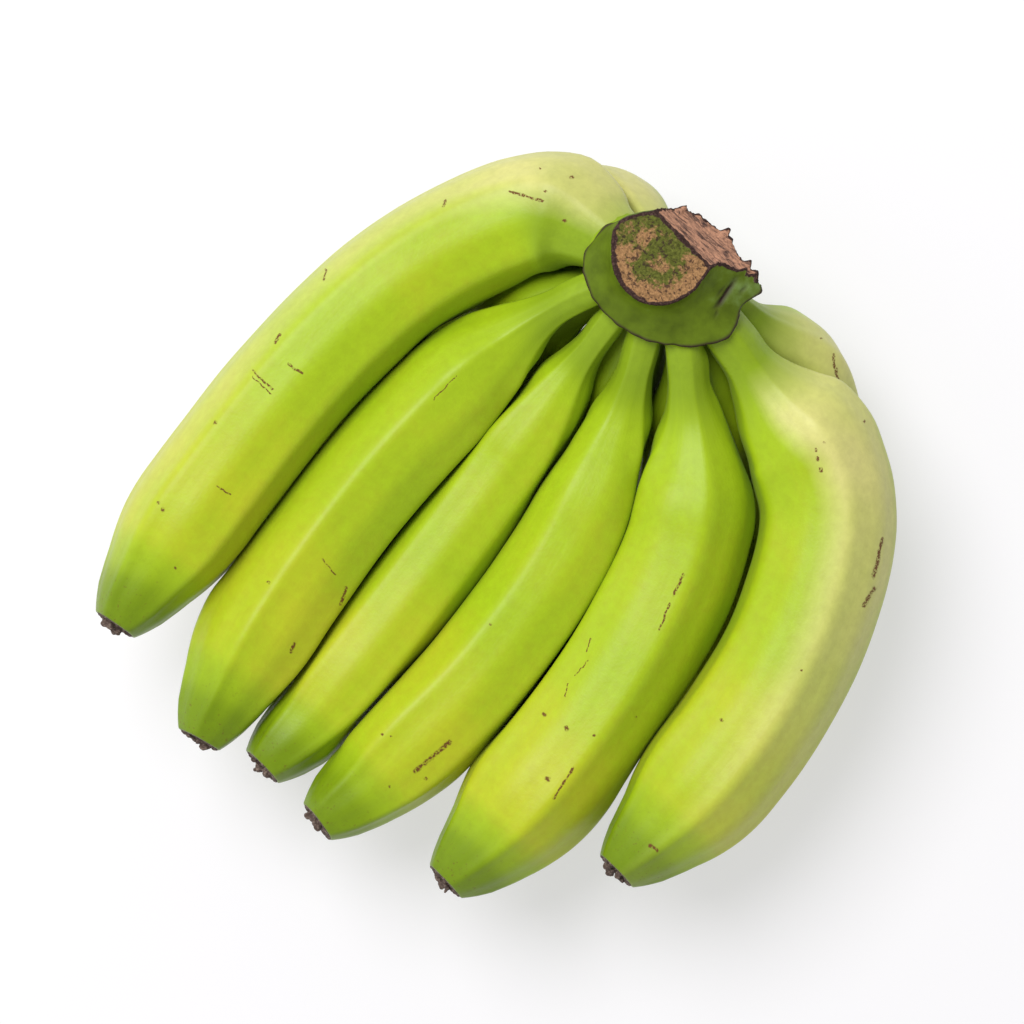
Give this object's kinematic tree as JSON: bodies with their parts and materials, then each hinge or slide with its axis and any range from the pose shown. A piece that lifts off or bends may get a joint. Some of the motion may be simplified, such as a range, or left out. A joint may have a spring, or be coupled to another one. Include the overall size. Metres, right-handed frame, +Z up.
{
  "type": "bunch of bananas",
  "caption": "Hand of unripe green bananas joined at one cut crown, lying flat with the fingers in two rows and the crown at one end.",
  "frame": {"origin": "bottom centre of the bounding box, on the surface that the hand lies on", "axes": "+Z up; +Y from the fingertips towards the crown; +X to the right across the fan, seen from above with the crown at the top"},
  "size_m": [0.2166, 0.2236, 0.0968],
  "materials": {
    "peel": "smooth waxy green banana peel with a soft sheen, yellower on the lit shoulders",
    "crown": "dark green fibrous crown with a brown rim and a tan cut face",
    "blossom_end": "dry, crumbly, dark brown"
  },
  "bodies": {
    "root": {"crown": "crown", "front_finger_1": "peel", "front_finger_2": "peel", "front_finger_3": "peel", "front_finger_4": "peel", "front_finger_5": "peel", "front_finger_6": "peel", "back_finger_1": "peel", "back_finger_2": "peel", "back_finger_3": "peel", "back_finger_4": "peel", "back_finger_5": "peel", "front_blossom_1": "blossom_end", "front_blossom_2": "blossom_end", "front_blossom_3": "blossom_end", "front_blossom_4": "blossom_end", "front_blossom_5": "blossom_end", "front_blossom_6": "blossom_end", "back_blossom_1": "blossom_end", "back_blossom_2": "blossom_end", "back_blossom_3": "blossom_end", "back_blossom_4": "blossom_end", "back_blossom_5": "blossom_end"}
  },
  "joints": []
}
